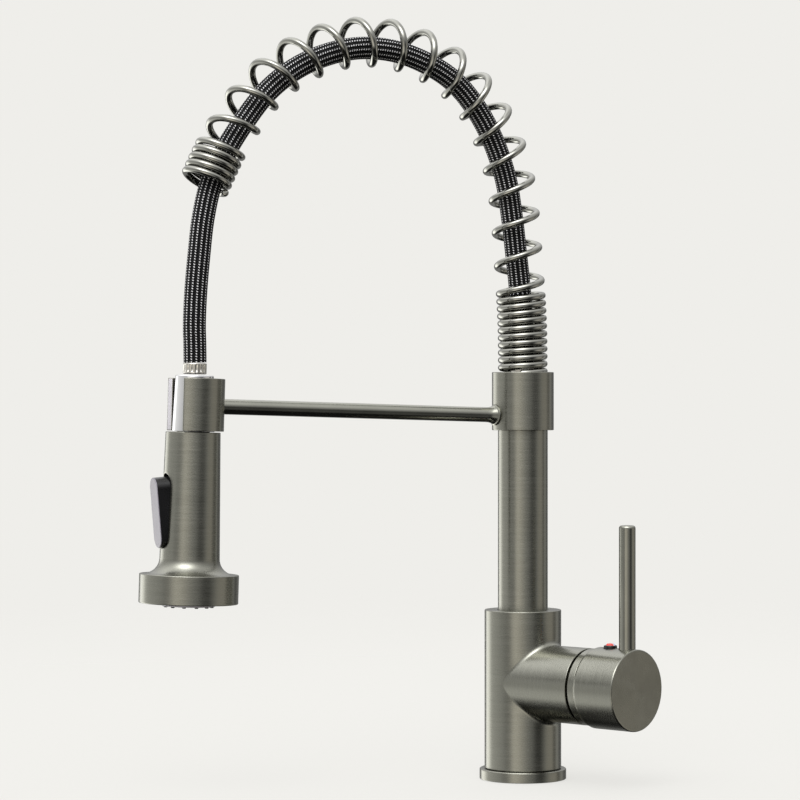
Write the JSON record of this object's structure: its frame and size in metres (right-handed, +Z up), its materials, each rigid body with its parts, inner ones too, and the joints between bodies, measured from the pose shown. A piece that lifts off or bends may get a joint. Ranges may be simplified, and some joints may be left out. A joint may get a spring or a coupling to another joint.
{
  "type": "pull-down kitchen faucet",
  "caption": "Single-lever kitchen faucet with a coil-spring spout, a braided hose, a support arm with a docking clip and a pull-down two-mode spray head.",
  "frame": {"origin": "centre of the mounting hole, at deck level under the base flange", "axes": "+Z up, +X out along the handle's axis; the spout is stored turned 113.2 degrees clockwise from +X, seen from above"},
  "size_m": [0.1932, 0.2426, 0.4378],
  "materials": {
    "brushed_nickel": "satin",
    "polished_chrome": "polished",
    "spring_wire": "gloss",
    "brass": "satin",
    "steel": "gloss",
    "rubber": "matte",
    "hose_braid": "satin",
    "white_plastic": "satin",
    "dark_plastic": "satin",
    "grey_plastic": "satin",
    "ceramic": "gloss",
    "index_colours": "gloss"
  },
  "bodies": {
    "faucet_base": {"base_flange": "brushed_nickel", "base_gasket": "rubber", "valve_body": "brushed_nickel", "spout_retaining_screw": "steel", "port_seal": "rubber", "cartridge_base": "white_plastic", "cartridge_housing": "white_plastic", "fixed_ceramic_disc": "ceramic", "cartridge_lock_nut": "brass", "trim_ring": "brushed_nickel"},
    "temperature_carrier": {"cartridge_rotor": "grey_plastic", "stem_pivot_pin": "steel"},
    "mixing_disc": {"moving_ceramic_disc": "ceramic"},
    "handle": {"cartridge_stem": "brass", "handle_cap": "brushed_nickel", "lever_rod": "brushed_nickel", "handle_set_screw": "steel", "index_plug": "index_colours"},
    "spout": {"riser_spigot": "brass", "lower_riser_o_ring": "rubber", "upper_riser_o_ring": "rubber", "riser_tube": "brushed_nickel", "top_collar": "brushed_nickel", "collar_set_screw": "steel", "hose_coupling": "brass", "coupling_o_ring": "rubber", "upper_hose_ferrule": "steel", "coil_spring": "spring_wire", "spray_hose": "hose_braid", "support_arm": "brushed_nickel", "docking_clip": "brushed_nickel"},
    "hose_end": {"hose_ferrule": "steel"},
    "spray_head": {"hose_nut": "brass", "hose_washer": "rubber", "head_neck": "polished_chrome", "neck_o_ring": "rubber", "head_shell": "brushed_nickel", "waterway": "grey_plastic", "check_valve": "white_plastic", "rocker_pin": "steel", "spray_chamber": "grey_plastic", "nozzle_mat": "rubber", "spray_face": "dark_plastic", "aerator": "grey_plastic"},
    "rocker": {"rocker_button": "dark_plastic"},
    "diverter": {"diverter_plunger": "white_plastic", "lower_plunger_o_ring": "rubber", "upper_plunger_o_ring": "rubber"}
  },
  "joints": [
    {"name": "spout_swivel", "type": "hinge", "parent": "faucet_base", "child": "spout", "pos_m": [0, 0, 0.09], "axis": [0, 0, 1], "continuous": true},
    {"name": "handle_temperature", "type": "hinge", "parent": "faucet_base", "child": "temperature_carrier", "pos_m": [0.033, 0, 0.0565], "axis": [1, 0, 0], "range_deg": [-45, 45]},
    {"name": "handle_lift", "type": "hinge", "parent": "temperature_carrier", "child": "handle", "pos_m": [0.033, 0, 0.0565], "axis": [0, 1, 0], "range_deg": [0, 20]},
    {"name": "mixing_disc_slide", "type": "slide", "parent": "temperature_carrier", "child": "mixing_disc", "axis": [0, 0, 1], "range_m": [0, 0.0031]},
    {"name": "spray_head_pull", "type": "slide", "parent": "spout", "child": "hose_end", "axis": [-0.0117, -0.0273, -0.9996], "range_m": [0, 0.1], "stiffness_N_per_m": 45, "springref_m": -0.12, "deforming": ["coil_spring", "spray_hose"]},
    {"name": "spray_head_turn", "type": "hinge", "parent": "hose_end", "child": "spray_head", "pos_m": [-0.08013, -0.18695, 0.2178], "axis": [0.0117, 0.0273, 0.9996], "continuous": true},
    {"name": "rocker_toggle", "type": "hinge", "parent": "spray_head", "child": "rocker", "pos_m": [-0.08448, -0.19711, 0.15905], "axis": [-0.9191, 0.3939, 0], "range_deg": [0, 13]},
    {"name": "diverter_slide", "type": "slide", "parent": "spray_head", "child": "diverter", "axis": [-0.0117, -0.0273, -0.9996], "range_m": [0, 0.0014]}
  ],
  "couplings": [
    {"joint": "mixing_disc_slide", "follows": "handle_lift", "m_per_rad": 0.0086},
    {"joint": "diverter_slide", "follows": "rocker_toggle", "m_per_rad": 0.006}
  ]
}
